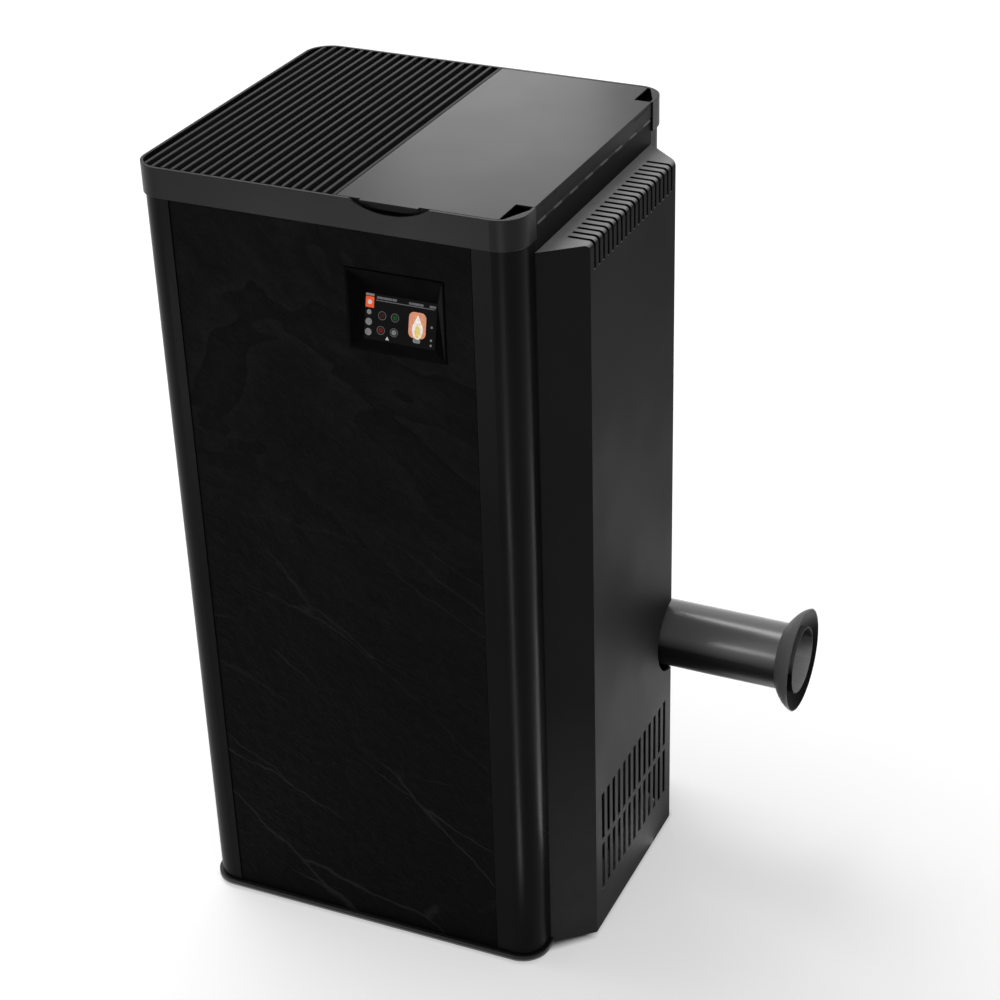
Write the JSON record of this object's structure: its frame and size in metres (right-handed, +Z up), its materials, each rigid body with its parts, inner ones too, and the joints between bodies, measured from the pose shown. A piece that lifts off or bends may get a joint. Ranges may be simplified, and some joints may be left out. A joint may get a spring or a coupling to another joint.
{
  "type": "pellet stove",
  "caption": "Free-standing wood pellet stove with slate side panels, ribbed top, hopper lid, fire door, ash drawer, side touch display and horizontal rear flue.",
  "frame": {"origin": "on the floor, under the middle of the casing", "axes": "+Z up; -Y towards the fire door; +Y towards the rear cover and the flue; +X towards the stone side with the display"},
  "size_m": [0.51, 0.8334, 1.16],
  "materials": {
    "base_plate": "matt dark grey",
    "levelling_feet": "galvanised steel sheet",
    "side_casing_right": "satin black powder coat",
    "side_casing_left": "satin black powder coat",
    "stone_panel_right": "dark split slate",
    "stone_panel_left": "dark split slate",
    "top_frame": "satin black powder coat",
    "ribbed_top": "satin black powder coat",
    "rear_panel": "satin black powder coat",
    "rear_cover": "satin black powder coat",
    "front_frame": "matt dark grey",
    "lower_front_panel": "satin black powder coat",
    "warm_air_panel": "matt dark grey",
    "firewall": "galvanised steel sheet",
    "firebox": "matt dark grey",
    "rear_liner": "pale vermiculite board",
    "side_liners": "pale vermiculite board",
    "baffle_plate": "pale vermiculite board",
    "exchanger_tubes": "galvanised steel sheet",
    "pot_holder": "dark cast iron",
    "igniter": "plain steel",
    "flame_sensor": "plain steel",
    "pellet_chute": "galvanised steel sheet",
    "hopper": "galvanised steel sheet",
    "hopper_funnel": "galvanised steel sheet",
    "auger_tube": "galvanised steel sheet",
    "auger_motor": "motor casing",
    "smoke_duct": "galvanised steel sheet",
    "exhaust_fan_housing": "satin black powder coat",
    "exhaust_motor": "motor casing",
    "flue_pipe": "satin black powder coat",
    "room_fan_housing": "galvanised steel sheet",
    "room_fan_motor": "motor casing",
    "combustion_air_pipe": "galvanised steel sheet",
    "control_board": "green circuit board",
    "display_bezel": "black plastic",
    "display_screen": "black screen glass",
    "mains_inlet": "black plastic",
    "safety_thermostat": "dark thermostat body",
    "lid_hinge_leaf": "galvanised steel sheet",
    "lid_hinge_pin": "plain steel",
    "door_hinges": "galvanised steel sheet",
    "drawer_runners": "galvanised steel sheet",
    "hopper_lid": "satin black powder coat",
    "lid_inner_frame": "galvanised steel sheet",
    "lid_gasket": "black foam rubber",
    "fire_door": "satin black powder coat",
    "door_glass": "ceramic glass",
    "glass_clips": "galvanised steel sheet",
    "door_seal": "glass fibre rope",
    "door_handle": "plain steel",
    "ash_drawer": "galvanised steel sheet",
    "drawer_front": "satin black powder coat",
    "burn_pot": "dark cast iron",
    "auger_screw": "plain steel",
    "exhaust_fan_wheel": "plain steel",
    "room_fan_wheel": "plain steel",
    "power_switch": "red plastic",
    "reset_button": "red plastic",
    "wall_rosette": "satin black powder coat"
  },
  "bodies": {
    "stove": {"base_plate": "base_plate", "levelling_feet": "levelling_feet", "side_casing_right": "side_casing_right", "side_casing_left": "side_casing_left", "stone_panel_right": "stone_panel_right", "stone_panel_left": "stone_panel_left", "top_frame": "top_frame", "ribbed_top": "ribbed_top", "rear_panel": "rear_panel", "rear_cover": "rear_cover", "front_frame": "front_frame", "lower_front_panel": "lower_front_panel", "warm_air_panel": "warm_air_panel", "firewall": "firewall", "firebox": "firebox", "rear_liner": "rear_liner", "side_liners": "side_liners", "baffle_plate": "baffle_plate", "exchanger_tubes": "exchanger_tubes", "pot_holder": "pot_holder", "igniter": "igniter", "flame_sensor": "flame_sensor", "pellet_chute": "pellet_chute", "hopper": "hopper", "hopper_funnel": "hopper_funnel", "auger_tube": "auger_tube", "auger_motor": "auger_motor", "smoke_duct": "smoke_duct", "exhaust_fan_housing": "exhaust_fan_housing", "exhaust_motor": "exhaust_motor", "flue_pipe": "flue_pipe", "room_fan_housing": "room_fan_housing", "room_fan_motor": "room_fan_motor", "combustion_air_pipe": "combustion_air_pipe", "control_board": "control_board", "display_bezel": "display_bezel", "display_screen": "display_screen", "mains_inlet": "mains_inlet", "safety_thermostat": "safety_thermostat", "lid_hinge_leaf": "lid_hinge_leaf", "lid_hinge_pin": "lid_hinge_pin", "door_hinges": "door_hinges", "drawer_runners": "drawer_runners"},
    "lid": {"hopper_lid": "hopper_lid", "lid_inner_frame": "lid_inner_frame", "lid_gasket": "lid_gasket"},
    "door": {"fire_door": "fire_door", "door_glass": "door_glass", "glass_clips": "glass_clips", "door_seal": "door_seal", "door_handle": "door_handle"},
    "drawer": {"ash_drawer": "ash_drawer", "drawer_front": "drawer_front"},
    "burn_pot_body": {"burn_pot": "burn_pot"},
    "auger": {"auger_screw": "auger_screw"},
    "exhaust_wheel": {"exhaust_fan_wheel": "exhaust_fan_wheel"},
    "room_wheel": {"room_fan_wheel": "room_fan_wheel"},
    "rocker": {"power_switch": "power_switch"},
    "button": {"reset_button": "reset_button"},
    "rosette": {"wall_rosette": "wall_rosette"}
  },
  "joints": [
    {"name": "lid_hinge", "type": "hinge", "parent": "stove", "child": "lid", "pos_m": [0, 0.2665, 1.1362], "axis": [-1, 0, 0], "range_deg": [0, 95]},
    {"name": "door_hinge", "type": "hinge", "parent": "stove", "child": "door", "pos_m": [0.1975, -0.262, 0.7005], "axis": [0, 0, 1], "range_deg": [0, 100]},
    {"name": "drawer_slide", "type": "slide", "parent": "stove", "child": "drawer", "axis": [0, -1, 0], "range_m": [0, 0.18]},
    {"name": "burn_pot_lift", "type": "slide", "parent": "stove", "child": "burn_pot_body", "axis": [0, 0, 1], "range_m": [0, 0.06]},
    {"name": "auger_turn", "type": "hinge", "parent": "stove", "child": "auger", "pos_m": [0, 0.172, 0.608], "axis": [0, -0.7071, 0.7071], "continuous": true},
    {"name": "exhaust_wheel_turn", "type": "hinge", "parent": "stove", "child": "exhaust_wheel", "pos_m": [-0.155, 0.142, 0.264], "axis": [1, 0, 0], "continuous": true},
    {"name": "room_wheel_turn", "type": "hinge", "parent": "stove", "child": "room_wheel", "pos_m": [0.112, 0.092, 0.066], "axis": [1, 0, 0], "continuous": true},
    {"name": "power_rocker", "type": "hinge", "parent": "stove", "child": "rocker", "pos_m": [-0.17124, 0.29203, 0.161], "axis": [0, 0, 1], "range_deg": [0, 16]},
    {"name": "reset_press", "type": "slide", "parent": "stove", "child": "button", "axis": [0.7543, -0.6565, 0], "range_m": [0, 0.002], "stiffness_N_per_m": 800},
    {"name": "rosette_slide", "type": "slide", "parent": "stove", "child": "rosette", "axis": [0, -1, 0], "range_m": [0, 0.12]}
  ]
}
